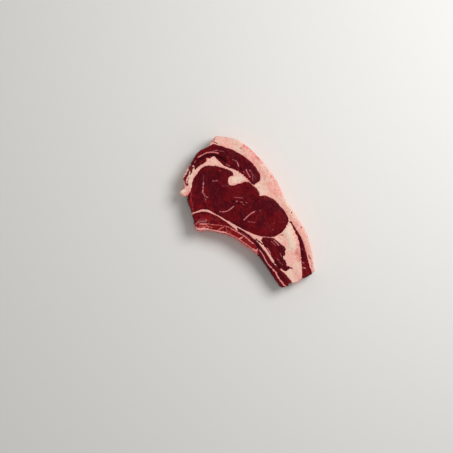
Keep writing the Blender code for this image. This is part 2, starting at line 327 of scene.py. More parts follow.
        (5.0, 0.4, [(69.5, 43), (84, 40.5), (98, 37)]),
        (9.0, 0.2, [(84, 13), (99, 12)]),
        (2.6, 0.35, [(-68, 44.5), (-57.5, 48), (-45, 49)]),
        (2.4, 1.0, [(-37, 30), (-32.5, 32), (-28, 33.5)]),
        (1.8, 0.3, [(-103.5, 36), (-90.5, 49)]),
        (2.1, 0.35, [(-44, -52), (-40, -40.5), (-35, -34.5), (-23.5, -28.5)]),
        (5.0, 0.25, [(-7, -22), (3.5, -17), (12.5, -12.5), (24, -6), (34.5, 2.5)]),
        (1.8, 0.3, [(42.5, -3), (60, -2.5), (76.5, -1.5)]),
        (2.6, 0.5, [(-70, -41), (-73, -36.5)]),
        # Painted shadow: a brownish red patch by the fat's edge, where the slice lies in shade.
        (3.0, 0.5, [(-71.5, -41.5), (-67.5, -46)]),
        (1.6, 0.3, [(90, 29), (79.5, 41)]),
    ],
}
MARK_KINDS = ("pale", "dark", "red")


# ---- Shapes in the plane -------------------------------------------------

def smooth_step(value, low, high):
    """0 below low, 1 above high, and 3t^2 - 2t^3 between them."""
    t = np.clip((value - low) / (high - low), 0, 1)
    return t * t * (3 - 2 * t)


def waves(places, wavelength, seed):
    """Smooth unevenness with a spread of 1: plane waves of about that length, with random headings."""
    count = 12
    rng = np.random.default_rng(seed)
    headings = rng.normal(size=(count, places.shape[1]))
    headings /= np.linalg.norm(headings, axis=1, keepdims=True)
    lengths = wavelength * rng.uniform(0.7, 1.5, (count, 1))
    phases = rng.uniform(0, 2 * np.pi, count)
    return np.sin(places @ (headings / lengths * 2 * np.pi).T + phases).sum(1) / math.sqrt(count / 2)


def uneven(places, parts):
    """The sum of waves in parts."""
    return sum(weight * waves(places, wavelength * MM, seed) for weight, wavelength, seed in parts)


def section(node, height):
    """Line segments (count, start and end, x and y) where a level plane cuts a node's triangles."""
    mesh = node.data
    mesh.calc_loop_triangles()
    places = np.empty(len(mesh.vertices) * 3)
    mesh.vertices.foreach_get("co", places)
    corners = np.empty(len(mesh.loop_triangles) * 3, int)
    mesh.loop_triangles.foreach_get("vertices", corners)
    starts = places.reshape(-1, 3)[corners.reshape(-1, 3)]
    ends = np.roll(starts, -1, axis=1)
    crossed = (starts[..., 2] > height) != (ends[..., 2] > height)
    starts, ends = starts[crossed], ends[crossed]
    t = (height - starts[:, 2]) / (ends[:, 2] - starts[:, 2])
    return (starts + t[:, None] * (ends - starts))[:, :2].reshape(-1, 2, 2)


def in_batches(work, places, segments):
    """Runs work on a few hundred places at a time: their x and y, and those of all starts and ends."""
    batch = 400
    starts, ends = segments[:, 0].T, segments[:, 1].T
    return np.concatenate([work(*places[i:i + batch].T[..., None], *starts, *ends)
                           for i in range(0, len(places), batch)])


def distance(places, segments):
    """Distance from each place to the nearest segment."""
    def nearest(x, y, x0, y0, x1, y1):
        along_x, along_y = x1 - x0, y1 - y0
        x, y = x - x0, y - y0
        t = (x * along_x + y * along_y) / np.maximum(along_x**2 + along_y**2, 1e-18)
        t = np.clip(t, 0, 1, out=t)
        x -= t * along_x
        y -= t * along_y
        return np.sqrt((x * x + y * y).min(1))
    return in_batches(nearest, places, segments)


def inside(places, segments):
    """Whether a ray along +X from each place crosses the segments an odd number of times."""
    def odd(x, y, x0, y0, x1, y1):
        straddles = (y0 > y) != (y1 > y)
        with np.errstate(divide="ignore", invalid="ignore"):
            slant = (x1 - x0) / (y1 - y0)
        return (straddles & (x - x0 < (y - y0) * slant)).sum(1) % 2 == 1
    return in_batches(odd, places, segments)


def through(points):
    """A curve of short segments through points: a cubic between each two, smooth at every point."""
    points = np.array(points, float) * MM
    padded = np.vstack([2 * points[0] - points[1], points, 2 * points[-1] - points[-2]])
    t = np.arange(CURVE_STEPS)[:, None] / CURVE_STEPS
    stretches = []
    for before, start, end, after in zip(padded, padded[1:], padded[2:], padded[3:]):
        stretches.append(start + 0.5 * t * (end - before + t * (2 * before - 5 * start + 4 * end - after
                                            + t * (3 * (start - end) + after - before))))
    curve = np.vstack(stretches + [points[-1:]])
    return np.stack([curve[:-1], curve[1:]], 1)


def mark_strength(places, marks):
    """How strongly marks of one kind cover each place: full along a curve, nothing at its uneven edge."""
    covered = np.zeros(len(places))
    spread = 1 + uneven(places, MARK_WAVES)
    for width, strength, points in marks:
        reach = width * MM / 2 * MARK_SPREAD * spread
        fade = 1 - distance(places, through(points)) / reach
        covered = np.maximum(covered, strength * smooth_step(fade, 0, MARK_FADES))
    return covered


class Outlines:
    """The outlines of the slice and its tissues, and how deep inside them a place is."""

    def __init__(self, nodes):
        self.tissue = {name: section(node, SECTION_HEIGHT) for name, node in nodes.items()}
        self.seam, self.free = {}, {}
        for name, segments in self.tissue.items():
            others = np.concatenate([s for other, s in self.tissue.items() if other != name])
            touches = distance(segments.mean(1), others) < TOUCHING
            self.seam[name], self.free[name] = segments[touches], segments[~touches]
        self.seams = np.concatenate(list(self.seam.values()))
        self.side = np.concatenate(list(self.free.values()))

    def depths(self, name, places, sizes):
        """Depth below the slice's wavy side, and depth past the tissue's ragged seams, negative outside.

        A place is in the slice if it is in a tissue, or between two, so nearer a seam than the side.
        Off the slice it counts as the tissue's own if the nearest stretch of side is. Neighbours
        overlap at their seam, by the gap between the solids at the side and by more inside.
        """
        to_side, to_seam = distance(places, self.side), distance(places, self.seam[name])
        within = distance(places, self.seams) < to_side - 10 * ROUNDING_ERROR
        for segments in self.tissue.values():
            within |= inside(places, segments)
        own = inside(places, self.tissue[name])
        if len(self.free[name]):
            own |= ~within & (distance(places, self.free[name]) < to_side + ROUNDING_ERROR)
        rim = LOOKS[name]["out"] * MM + sizes.side_waviness * uneven(places, RIM_WAVES)
        more = LOOKS[name]["overlap"] * MM - SOLID_GAP
        overlap = SOLID_GAP + more * smooth_step(to_side, 0, FULL_OVERLAP)
        ragged = seam_ripple(places, sizes) * LOOKS[name]["ragged"]
        return (np.where(within, to_side, -to_side) + rim,
                np.where(own, to_seam, -to_seam) + overlap + ragged)

    def depth(self, name, places, sizes):
        """Depth inside the tissue: the lesser of the two, and the first alone outside the slice."""
        skin, join = self.depths(name, places, sizes)
        return np.where(skin > 0, np.minimum(skin, join), skin)


def seam_ripple(places, sizes):
    """How far a seam strays: bends along it, and teeth, longer in some places and at frayed ends."""
    teeth = 0.1 + 0.6 * smooth_step(uneven(places, TOOTHED_PLACES), -0.8, 1.4)
    for middle, size, more in FRAYED:
        teeth += more * np.exp(-(np.linalg.norm(places - middle, axis=1) / size)**2)
    return sizes.seam_waviness * (uneven(places, SEAM_BENDS) + teeth * uneven(places, SEAM_TEETH))


def drift(places, sizes):
    """How far all tissues wander sideways inside the slice: slow waves times sin(pi z / thickness)."""
    inner = np.sin(np.pi * np.clip(places[:, 2] / sizes.thickness, 0, 1))
    wander = np.stack([uneven(places, parts) for parts in DRIFT_WAVES], 1)
    return sizes.seam_drift * inner[:, None] * wander


# ---- Meshes --------------------------------------------------------------

def whole_cells(kept):
    """Lattice cells with all four corners kept, without cells that touch the rest at a corner only."""
    cells = kept[:-1, :-1] & kept[1:, :-1] & kept[1:, 1:] & kept[:-1, 1:]
    for _ in range(4):
        cells[1:, 1:] &= ~(cells[:-1, :-1] & ~cells[1:, :-1] & ~cells[:-1, 1:])
        cells[:-1, 1:] &= ~(cells[1:, :-1] & ~cells[:-1, :-1] & ~cells[1:, 1:])
    return largest_patch(cells)


def largest_patch(cells):
    """The largest connected patch: labels spread from cell to cell until none changes."""
    label = np.where(cells, np.arange(1, cells.size + 1).reshape(cells.shape), 0)
    while True:
        spread = label.copy()
        for axis in (0, 1):
            for ahead in (slice(1, None), slice(None, -1)):
                behind = slice(None, -1) if ahead.start else slice(1, None)
                to = tuple(ahead if a == axis else slice(None) for a in (0, 1))
                of = tuple(behind if a == axis else slice(None) for a in (0, 1))
                spread[to] = np.maximum(spread[to], spread[of])
        spread[~cells] = 0
        if (spread == label).all():
            break
        label = spread
    names, counts = np.unique(label[cells], return_counts=True)
    return label == names[counts.argmax()]


def filled(outlines, name, sizes):
    """A tissue's outline filled with square cells whose rim is drawn onto the outline.

    Returns places (count, 2), quads (count, 4) anticlockwise from above and rim edges in the same turn.
    """
    low, high = (np.array(corner)[:2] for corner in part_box(name))
    step = sizes.lattice
    axes = [np.arange(low[a] - 2 * step, high[a] + 2 * step, step) for a in (0, 1)]
    places = np.stack(np.meshgrid(*axes, indexing="ij"), -1)
    shape = places.shape[:2]
    kept = outlines.depth(name, places.reshape(-1, 2), sizes).reshape(shape) > -0.45 * step
    cells = whole_cells(kept)
    used = np.zeros(shape, bool)
    for dx in (0, 1):
        for dy in (0, 1):
            used[dx:dx + cells.shape[0], dy:dy + cells.shape[1]] |= cells
    number = np.cumsum(used).reshape(shape) - 1
    quads = np.stack([number[:-1, :-1], number[1:, :-1], number[1:, 1:], number[:-1, 1:]], -1)[cells]
    places = places[used]
    edges = np.stack([quads, np.roll(quads, -1, axis=1)], -1).reshape(-1, 2)
    forward = edges @ (len(places), 1)
    rim = edges[~np.isin(forward, edges @ (1, len(places)))]
    drawn = rim[:, 0]
    for _ in range(3):
        here, slope = slopes(lambda p: outlines.depth(name, p, sizes), places[drawn])
        places[drawn] -= here[:, None] * slope / np.maximum((slope**2).sum(1), 0.25)[:, None]
    return places, quads, rim


def slopes(field, places):
    """A field's value at places and its slope there along x and y."""
    nudge = 0.05 * MM
    here = field(places)
    east, north = field(places + (nudge, 0)), field(places + (0, nudge))
    return here, np.stack([east - here, north - here], 1) / nudge


def rim_drop(skin, radius):
    """How far a rounded rim falls: a quarter circle from full radius at the side to none inside."""
    t = np.clip(1 - skin / radius, 0, 1)
    return radius * (1 - np.sqrt(1 - t * t))


def upper_face(places, skin, join, marks, look, sizes):
    """Height of the upper cut face.

    The slice's thickness, less its thinning to the tail, plus the swell over the eye muscle, the
    rise of the tissue away from its seams, waves, and the marks, less the rounding of the rim.
    """
    tail = smooth_step(places[:, 0], TAIL_START, TAIL_TIP)
    from_eye = np.linalg.norm(places - EYE_CENTRE, axis=1)
    height = sizes.thickness - sizes.tail_thinning * tail
    height += sizes.eye_crown * np.exp(-(from_eye / EYE_RADIUS)**2)
    rise, reach, bundle = look["rise"] * MM, look["reach"] * MM, look["bundle"]
    height += rise * (1 - np.exp(-np.maximum(join, 0) / reach)) + look["proud"] * MM
    height += FACE_SWELL * uneven(places, FACE_WAVES)
    lumps = uneven(places, ((1, bundle, 8), (0.6, bundle / 2, 9)))
    height += smooth_step(join, 0, LUMPS_FROM_SEAM) * look["lumps"] * MM * lumps
    height += look["ridge"] * MM * marks["pale"] - look["hollow"] * MM * marks["dark"]
    return height - rim_drop(skin, sizes.rim_round * (1 + uneven(places, ROUNDING_WAVES)))


def lower_face(skin, join, look, sizes):
    """Height of the lower cut face: flat on the floor, rounded at the rim, with shallow seams."""
    seam = LOWER_SEAM * np.exp(-np.maximum(join, 0) / LOWER_SEAM_WIDTH)
    return look["tuck"] * MM + seam + rim_drop(skin, sizes.rim_round)


def tissue_mesh(outlines, name, sizes):
    """One closed tissue: the filled outline as upper and lower face, and a side between their rims."""
    look = LOOKS[name]
    flat, quads, rim = filled(outlines, name, sizes)
    skin, join = outlines.depths(name, flat, sizes)
    marks = {kind: mark_strength(flat, MARKS.get((name, kind), [])) for kind in MARK_KINDS}
    top = upper_face(flat, skin, join, marks, look, sizes)
    bottom = lower_face(skin, join, look, sizes)

    count, walls = len(flat), rim[:, 0]
    place_in_rim = np.zeros(count, int)
    place_in_rim[walls] = np.arange(len(walls))
    ahead = place_in_rim[rim[:, 1]]
    slope = slopes(lambda p: outlines.depth(name, p, sizes), flat[walls])[1]
    outward = along_rim(-slope, ahead, HEADING_ROUNDS)
    outward /= lengths_of(outward)
    reaches = 1 - smooth_step(skin[walls], *SIDE_TO_SEAM)
    evened = along_rim(flat[walls], ahead, OUTLINE_ROUNDS) - flat[walls]
    evened *= np.minimum(1, EVENED / lengths_of(evened))
    evened *= (reaches * smooth_step(join[walls], *CLEAR_OF_SEAM))[:, None]
    layers, rows, fades = [np.c_[flat, top], np.c_[flat, bottom]], [walls], []
    for level in range(1, SIDE_LEVELS):
        t = level / SIDE_LEVELS
        straight = np.c_[flat[walls], top[walls] * (1 - t) + bottom[walls] * t]
        layers.append(side_level(t, straight, outward * reaches[:, None], evened, sizes))
        rows.append(2 * count + (level - 1) * len(walls) + np.arange(len(walls)))
        fades.append((1 - t)**DOWNWARD_FADE)
    rows.append(count + walls)
    sides = [np.stack([above[ahead], above, below, below[ahead]], 1)
             for above, below in zip(rows, rows[1:])]
    faces = np.concatenate([quads, (quads + count)[:, ::-1]] + sides)

    mesh = mesh_from(name, np.concatenate(layers), faces)
    for kind, strength in marks.items():
        below = strength * smooth_step(skin, *MARKS_BELOW)
        store(mesh, kind, [strength, below] + [strength[walls] * fade for fade in fades])
    for kind, depth in (("join", join / MM), ("skin", skin / MM)):
        store(mesh, kind, [depth] * 2 + [depth[walls]] * len(fades))
    store(mesh, "side", [0 * skin] * 2 + [reaches] * len(fades))
    return mesh


def side_level(t, places, outward, evened, sizes):
    """A level of the side, moved from its place straight below the upper rim, at share t of the way down.

    It stands out by the bulge and its waves times sin(pi t), it is evened by the root of that, and it
    drifts as its neighbours do.
    """
    swell = math.sin(math.pi * t)
    out = (sizes.side_bulge + sizes.side_relief * uneven(places, SIDE_WAVES)) * swell
    moved = places[:, :2] + outward * out[:, None] + evened * math.sqrt(swell) + drift(places, sizes)
    return np.c_[moved, places[:, 2]]


def lengths_of(vectors):
    """The length of each vector, never 0."""
    return np.maximum(np.linalg.norm(vectors, axis=1, keepdims=True), 1e-9)


def along_rim(values, ahead, times):
    """Values a rim vertex, each evened out with its two neighbours that many times."""
    behind = np.argsort(ahead)
    for _ in range(times):
        values = 0.5 * values + 0.25 * (values[ahead] + values[behind])
    return values


def mesh_from(name, places, quads):
    """A mesh of quads, shaded smooth but for its sharp rims at the seams."""
    mesh = bpy.data.meshes.new(name)
    mesh.vertices.add(len(places))
    mesh.vertices.foreach_set("co", places.astype(np.float32).ravel())
    mesh.loops.add(quads.size)
    mesh.loops.foreach_set("vertex_index", quads.astype(np.int32).ravel())
    mesh.polygons.add(len(quads))
    mesh.polygons.foreach_set("loop_start", np.arange(0, quads.size, 4, dtype=np.int32))
    mesh.update(calc_edges=True)
    mesh.validate()
    mesh.shade_smooth()
    mesh.set_sharp_from_angle(angle=math.radians(60))
    return mesh


def store(mesh, name, layers):
    """Keeps one number a vertex, for the material, from its values layer by layer."""
    attribute = mesh.attributes.new(name, "FLOAT", "POINT")
    attribute.data.foreach_set("value", np.concatenate(layers).astype(np.float32))


# ---- Materials -----------------------------------------------------------

class Number:
    """A socket that carries a number. Arithmetic on it adds Math nodes."""

    def __init__(self, shading, socket):
        self.shading = shading
        self.socket = socket

    def math(self, operation, left, right):
        return self.shading.node("ShaderNodeMath", {"operation": operation}, {0: left, 1: right})

    def __add__(self, other):
        return self.math("ADD", self, other)

    def __sub__(self, other):
        return self.math("SUBTRACT", self, other)

    def __rsub__(self, other):
        return self.math("SUBTRACT", other, self)

    def __mul__(self, other):
        return self.math("MULTIPLY", self, other)

    __radd__ = __add__
    __rmul__ = __mul__


class Shading:
    """The nodes of one material."""

    def __init__(self, name):
        self.material = bpy.data.materials.new(name)
        self.material.use_nodes = True
        self.tree = self.material.node_tree
        self.shader = self.tree.nodes["Principled BSDF"]
        self.place = self.node("ShaderNodeTexCoord", output="Object")

    def node(self, kind, settings=None, inputs=None, output=0):
        """Any node: its settings first, then its sockets, given as numbers or links."""
        node = self.tree.nodes.new(kind)
        for setting, value in (settings or {}).items():
            setattr(node, setting, value)
        for name, value in (inputs or {}).items():
            self.feed(node.inputs[name], value)
        return Number(self, node.outputs[output])

    def feed(self, socket, value):
        """Links a socket, or sets it."""
        if isinstance(value, Number):
            self.tree.links.new(value.socket, socket)
        else:
            socket.default_value = value

    def look(self, **sockets):
        """Feeds the shader's own sockets, named with underscores for spaces."""
        for name, value in sockets.items():
            self.feed(self.shader.inputs[name.replace("_", " ")], value)

    def attribute(self, name):
        return self.node("ShaderNodeAttribute", {"attribute_name": name}, output="Fac")

    def moved(self, offset, stretch, drawn=1.0):
        """The place on the piece, shifted, and squeezed in height and length to draw fibres out."""
        return self.node("ShaderNodeMapping", None, {
            "Vector": self.place, "Location": (offset, 2 * offset, 0), "Scale": (drawn, 1, stretch)})

    def noise(self, size, detail=2.0, roughness=0.55, offset=0.0, stretch=1.0, drawn=1.0):
        """Cloudy noise with features of about that size, from 0 to 1 around 0.5."""
        return self.node("ShaderNodeTexNoise", None, {
            "Vector": self.moved(offset, stretch, drawn), "Scale": 1 / size, "Detail": detail,
            "Roughness": roughness})

    def cells(self, size, jitter, offset, stretch=1.0):
        """Cells of about that size with bent edges: the distance to their edges, in cell sizes."""
        place = self.moved(offset, stretch)
        wobble = self.node("ShaderNodeTexNoise", None, {"Vector": place, "Scale": 0.7 / size}, "Color")
        bent = self.node("ShaderNodeVectorMath", {"operation": "MULTIPLY_ADD"}, {
            0: wobble, 1: (jitter * size,) * 3, 2: place})
        return self.node("ShaderNodeTexVoronoi", {"feature": "DISTANCE_TO_EDGE"}, {
            "Vector": bent, "Scale": 1 / size}, "Distance")

    def between(self, value, low, high):
        """0 below low, 1 above high, smooth between; falls instead where low is above high."""
        return self.node("ShaderNodeMapRange", {"interpolation_type": "SMOOTHSTEP"}, {
            "Value": value, "From Min": low, "From Max": high})

    def where(self, name, broken, low, high):
        """Where an attribute rises from low to high, or falls, its edge broken up by a value."""
        return self.between(self.attribute(name) + broken, low, high)

    def mix(self, factor, under, over, blend="MIX"):
        """Colour over colour."""
        return self.node("ShaderNodeMix", {"data_type": "RGBA", "blend_type": blend}, {
            0: factor, 6: under, 7: over}, 2)

    def bump(self, height, depth, strength):
        """A normal from a height of 0 to 1 that stands for that many metres."""
        return self.node("ShaderNodeBump", None, {
            "Height": height, "Distance": depth, "Strength": strength})


def lean_meat(colours):
    """Moist raw muscle cut across its fibres, with a painted wet sheen in pinker flecks and painted shade
    along its seams and in its clefts.

    Broad dark and red clouds, a fine grain of bundles drawn out down the sides, pale and dark flecks
    and marbling, under a thin wet coat.
    """
    s = Shading("lean_meat")
    clouds = s.noise(26 * MM, 2, offset=0.3)
    mottle = s.noise(6.5 * MM, 2, offset=0.7, stretch=0.35, drawn=0.7)
    grain = s.noise(1.3 * MM, 3, 0.65, offset=1.1, stretch=0.15)
    speckle = s.noise(2.6 * MM, 4, 0.68, offset=2.3, stretch=0.2, drawn=0.45)
    bundles = s.cells(1.7 * MM, 1.3, offset=0.2, stretch=0.12)
    colour = s.mix(s.between(clouds + (mottle - 0.5) * 0.7, 0.36, 0.66), colours.lean_dark, colours.lean)
    colour = s.mix(s.between(mottle, 0.5, 0.8) * 0.2, colour, colours.lean_bright)
    red = s.attribute("red") * s.between(mottle + grain, 0.75, 1.15)
    colour = s.mix(red, colour, colours.lean_bright)
    colour = s.mix(s.between(grain, 0.52, 0.25) * 0.45, colour, colours.lean_deep)
    colour = s.mix(s.between(speckle, 0.47, 0.33) * 0.4, colour, colours.lean_deep)
    # Painted wet sheen: lighter, greyer pink flecks stand in for faint glints on the moist surface.
    colour = s.mix(s.between(speckle, 0.48, 0.8) * 0.4, colour, colours.painted_sheen)
    # Dark marks: painted shade in clefts, gaps and pits over their sunken relief, and in places darker
    # meat.
    colour = s.mix(s.where("dark", (grain - 0.5) * 0.6, 0.08, 0.8) * 0.85, colour, colours.lean_deep)
    pale = s.where("pale", (grain - 0.5) * 0.9, 0.14, 0.75)
    string = s.mix(s.where("pale", speckle - 0.5, 0.6, 1.0), colours.marbling, colours.fat_blush)
    colour = s.mix(pale * 0.95, colour, string)
    # Painted shade along the seams: the lean's upper face darkens within about a millimetre of a
    # neighbour.
    seam = s.between(s.attribute("join"), 0.8, 0.05) * (1 - s.attribute("side"))
    colour = s.mix(seam * 0.12, colour, colours.lean_deep)
    height = grain * 0.45 + s.between(bundles, 0.0, 0.35) * 0.4 + mottle * 0.35 + pale * 0.3
    s.look(Base_Color=colour, Roughness=0.46 + (mottle - 0.5) * 0.3, Normal=s.bump(height, 0.28 * MM, 0.6),
           Subsurface_Weight=0.08, Subsurface_Radius=(1.0, 0.2, 0.12), Subsurface_Scale=1.0 * MM,
           Coat_Weight=0.05, Coat_Roughness=0.16, Specular_IOR_Level=0.02)
    return s.material


def hard_fat(colours):
    """Cream fat: soft speckled lobules, pinker by the lean, with stains, a patch of painted shadow by its
    edge and torn red strings.
    """
    s = Shading("hard_fat")
    clouds = s.noise(17 * MM, 2, offset=0.9)
    patches = s.noise(6 * MM, 3, offset=1.7)
    fine = s.noise(1.3 * MM, 3, 0.6, offset=2.1)
    speckle = s.noise(2.4 * MM, 3, 0.65, offset=4.1)
    lobules = s.cells(3.6 * MM, 0.8, offset=0.5)
    pinker = s.between(clouds + (patches - 0.5) * 0.6, 0.34, 0.68)
    colour = s.mix(pinker, colours.fat_cream, colours.fat_pink)
    colour = s.mix(s.between(patches, 0.5, 0.72) * 0.6, colour, colours.fat_white)
    creases = s.between(lobules, 0.1, 0.0) * s.between(fine, 0.35, 0.65)
    colour = s.mix(creases * 0.25, colour, colours.fat_blush)
    ragged = (patches - 0.5) * 2 + (fine - 0.5) * 1.2
    by_lean = s.where("join", ragged, 2.6, 0.2)
    colour = s.mix(by_lean * 0.7, colour, colours.fat_blush)
    by_rim = s.where("skin", ragged * 2, 5.0, 0.2) * s.between(clouds, 0.42, 0.6)
    by_rim *= 1 - s.attribute("side") * 0.5
    colour = s.mix(by_rim * 0.4, colour, colours.fat_blush)
    colour = s.mix(s.between(speckle, 0.47, 0.64) * 0.85, colour, colours.fat_shade, "MULTIPLY")
    colour = s.mix(s.between(speckle, 0.45, 0.3) * 0.45, colour, colours.fat_white)
    # Red marks: stains, and one patch of painted shadow by the fat's edge.
    stain_and_shadow = s.attribute("red")
    colour = s.mix(stain_and_shadow * 0.5, colour, colours.fat_blush)
    colour = s.mix(stain_and_shadow * s.between(patches + fine * 0.5, 0.5, 0.95) * 0.75, colour, colours.stain_and_shadow)
    torn = s.where("dark", (fine - 0.5) * 0.7, 0.12, 0.5)
    colour = s.mix(torn, colour, s.mix(patches, colours.lean_deep, colours.lean_bright))
    pale = s.where("pale", (fine - 0.5) * 0.6, 0.1, 0.8)
    colour = s.mix(pale * 0.85, colour, s.mix(torn, colours.fat_white, colours.fat_pink))
    specks = s.between(s.noise(2.8 * MM, 2, offset=3.3), 0.71, 0.77)
    colour = s.mix(specks * 0.35, colour, colours.stain_and_shadow)
    height = s.between(lobules, 0.0, 0.4) * 0.5 + patches * 0.5 + fine * 0.35
    s.look(Base_Color=colour, Roughness=0.5 + (fine - 0.5) * 0.25, Normal=s.bump(height, 0.35 * MM, 0.8),
           Subsurface_Weight=0.12, Subsurface_Radius=(1.0, 0.5, 0.35), Subsurface_Scale=0.8 * MM,
           Coat_Weight=0.05, Coat_Roughness=0.25, Specular_IOR_Level=0.1)
    return s.material


def sawn_bone(colours):
    """A sawn rib: red spongy marrow between thin pale walls, with pale shards, and skin on its side."""
    s = Shading("sawn_bone")
    patches = s.noise(3.5 * MM, 3, offset=0.4, stretch=0.4)
    fine = s.noise(1.2 * MM, 3, 0.65, offset=1.3, stretch=0.4)
    sponge = s.cells(1.5 * MM, 0.8, offset=0.8, stretch=0.4)
    colour = s.mix(s.between(patches, 0.35, 0.65), colours.marrow_dark, colours.marrow)
    spongy = s.between(sponge, 0.13, 0.0) * s.between(patches + fine, 0.85, 1.2)
    colour = s.mix(spongy * 0.1, colour, colours.bone_pink)
    colour = s.mix(s.where("red", (fine - 0.5) * 0.6, 0.1, 0.7) * 0.7, colour, colours.marrow)
    colour = s.mix(s.where("dark", (fine - 0.5) * 0.5, 0.1, 0.7) * 0.8, colour, colours.marrow_dark)
    wall = s.between(s.attribute("join"), 1.1, 0.2) * s.between(patches + fine, 0.8, 1.15)
    colour = s.mix(wall * 0.35, colour, colours.bone_pink)
    colour = s.mix(s.where("skin", (fine - 0.5) * 1.5, 1.1, 0.4) * 0.5, colour, colours.bone_pink)
    colour = s.mix(s.between(fine, 0.5, 0.3) * 0.5, colour, colours.marrow_dark)
    pale = s.where("pale", (fine - 0.5) * 1.1, 0.15, 0.85)
    string = s.mix(s.between(s.attribute("pale"), 0.75, 1.0) * 0.6 + patches * 0.4, colours.bone_pink,
                   colours.bone_pale)
    colour = s.mix(pale * 0.9, colour, string)
    film = s.attribute("side") * s.between(patches + fine * 0.6, 0.48, 0.9)
    colour = s.mix(s.attribute("side") * 0.6, colour, colours.bone_pink)
    colour = s.mix(film * 0.7, colour, colours.bone_pale)
    height = s.between(sponge, 0.0, 0.3) * 0.4 + fine * 0.5 + patches * 0.3 + pale * 0.5
    s.look(Base_Color=colour, Roughness=0.45 + (fine - 0.5) * 0.3, Normal=s.bump(height, 0.35 * MM, 0.9),
           Subsurface_Weight=0.08, Subsurface_Radius=(1.0, 0.3, 0.2), Subsurface_Scale=0.8 * MM,
           Coat_Weight=0.06, Coat_Roughness=0.16, Specular_IOR_Level=0.04)
    return s.material


# ---- Settings ------------------------------------------------------------

def length(name, description, millimetres):
    """A size that the user may change."""
    return bpy.props.FloatProperty(name=name, description=description, default=millimetres * MM,
                                   subtype="DISTANCE", unit="LENGTH", precision=5)


def colour(name, description, red, green, blue):
    """A colour that the user may change."""
    return bpy.props.FloatVectorProperty(name=name, description=description, default=(red, green, blue, 1),
                                         size=4, subtype="COLOR", min=0, max=1)


class SteakSizes(bpy.types.PropertyGroup):
    """Sizes of the slice and its relief."""

    thickness: length("Thickness", "Height of the slice over its thick end", 28)
    tail_thinning: length("Tail thinning", "How much lower the tail is", 4)
    eye_crown: length("Eye crown", "Swell of the upper face over the eye muscle", 0.8)
    rim_round: length("Rim radius", "Rounding of both cut faces at the side", 2)
    side_bulge: length("Side bulge", "How far the side swells at mid height", 0.8)
    side_relief: length("Side relief", "Unevenness of the side", 0.5)
    side_waviness: length("Side waviness", "Unevenness of the slice's outline", 0.22)
    seam_waviness: length("Seam waviness", "Unevenness of the seams between tissues", 0.3)
    seam_drift: length("Seam drift", "How far the seams wander on their way down the side", 0.5)
    lattice: length("Lattice", "Size of the cells that fill an outline", 0.5)


class SteakColours(bpy.types.PropertyGroup):
    """Colours of the tissues, as light reflected by each."""

    lean: colour("Lean", "Main colour of the muscles", 0.136, 0.0034, 0.0064)
    lean_dark: colour("Dark lean", "Purplish clouds in the muscles", 0.080, 0.0022, 0.0064)
    lean_bright: colour("Bright lean", "Fresh red patches", 0.27, 0.0070, 0.0100)
    lean_deep: colour("Deep lean", "Pits and shaded creases", 0.022, 0.0012, 0.0030)
    # Painted wet sheen: the colour of the lighter flecks that stand in for glints on the lean.
    painted_sheen: colour("Painted sheen", "Pinker flecks in the muscles", 0.235, 0.020, 0.029)
    marbling: colour("Marbling", "Thin fat inside a muscle", 0.58, 0.175, 0.190)
    fat_cream: colour("Cream fat", "Main colour of the fat", 0.845, 0.565, 0.46)
    fat_pink: colour("Pink fat", "Pinker clouds in the fat", 0.87, 0.425, 0.365)
    fat_white: colour("White fat", "Driest, palest fat", 0.83, 0.64, 0.515)
    fat_blush: colour("Blush", "Fat by the lean and at the rim", 0.88, 0.32, 0.295)
    fat_shade: colour("Fat shade", "Tint that darkens the fat's speckles", 0.86, 0.77, 0.75)
    # Also paints the patch of shadow by the fat's edge.
    stain_and_shadow: colour("Stain", "Red juice on the fat", 0.60, 0.10, 0.095)
    marrow: colour("Marrow", "Red sponge inside the bone", 0.26, 0.0060, 0.0080)
    marrow_dark: colour("Dark marrow", "Dark hollows inside the bone", 0.10, 0.0025, 0.004)
    bone_pink: colour("Pink bone", "Thin walls of the bone", 0.72, 0.095, 0.09)
    bone_pale: colour("Pale bone", "Thick walls and shards of the bone", 0.90, 0.46, 0.42)
    floor: colour("Floor", "The pale ground", 0.74, 0.73, 0.71)


# How each kind of tissue meets the others, in mm: how far it reaches past its outline at a seam, how high
# it stands there, how it rises away from it and over what distance, the width of its bundles and the
# height of its lumps, its raised pale marks and its sunken dark ones, and how far it stands out at the
# side and up at the bottom, and which way it strays at a ragged seam: lean out where fat and bone go in.
LEAN_LOOK = {"overlap": 0.45, "proud": -0.1, "rise": 0.55, "reach": 3.5, "bundle": 5.0, "lumps": 0.06,
             "ridge": 0.12, "hollow": 0.25, "out": 0.12, "tuck": 0.06, "ragged": 1}
FAT_LOOK = {"overlap": 0.3, "proud": -0.18, "rise": 0.25, "reach": 1.0, "bundle": 7.0, "lumps": 0.07,
            "ridge": 0.5, "hollow": 1.3, "out": 0.0, "tuck": 0.12, "ragged": -1}
BONE_LOOK = {"overlap": 0.3, "proud": 0.05, "rise": 0.1, "reach": 1.0, "bundle": 3.0, "lumps": 0.07,
             "ridge": 0.2, "hollow": 0.5, "out": 0.24, "tuck": 0.0, "ragged": -1}
LOOKS = {
    "fat": FAT_LOOK,
    "cap_muscle": LEAN_LOOK | {"overlap": 0.3},
    "eye_muscle": LEAN_LOOK,
    "chine_muscle": LEAN_LOOK | {"overlap": 1.1},
    "rib_muscle": LEAN_LOOK | {"overlap": 1.1},
    "intercostal_muscle": LEAN_LOOK | {"overlap": 0.7},
    "outer_muscle": LEAN_LOOK | {"overlap": 0.6},
    "rib_bone": BONE_LOOK,
}


# ---- Operators -----------------------------------------------------------

